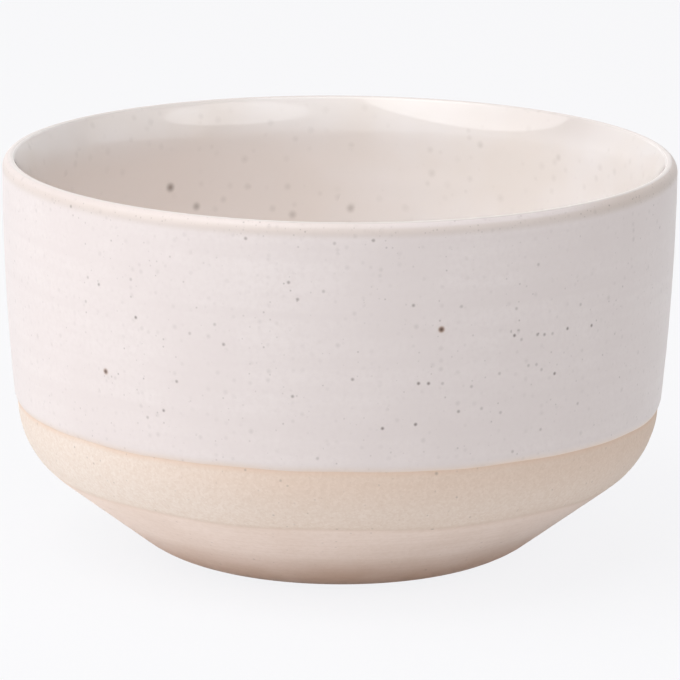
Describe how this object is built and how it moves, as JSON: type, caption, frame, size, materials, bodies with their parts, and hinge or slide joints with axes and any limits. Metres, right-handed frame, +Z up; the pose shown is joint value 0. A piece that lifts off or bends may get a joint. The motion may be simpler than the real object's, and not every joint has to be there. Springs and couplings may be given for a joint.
{
  "type": "cappuccino cup",
  "caption": "Handle-less stoneware cup with an upright glazed wall over a bare clay shoulder, a trimmed cone and a rolled foot, for cappuccino and other hot drinks.",
  "frame": {"origin": "middle of the foot, on the surface that the cup stands on", "axes": "+Z up along the axis that the cup was turned about"},
  "size_m": [0.095, 0.095, 0.0565],
  "materials": {
    "bare_stoneware": "unglazed, fine grog, trimmed smooth below the knuckle",
    "satin_glaze": "satin off-white glaze with iron specks",
    "liner_glaze": "glossy warm white glaze with soft specks"
  },
  "bodies": {
    "root": {"stoneware_body": "bare_stoneware", "outer_glaze": "satin_glaze", "liner_glaze": "liner_glaze"}
  },
  "joints": []
}
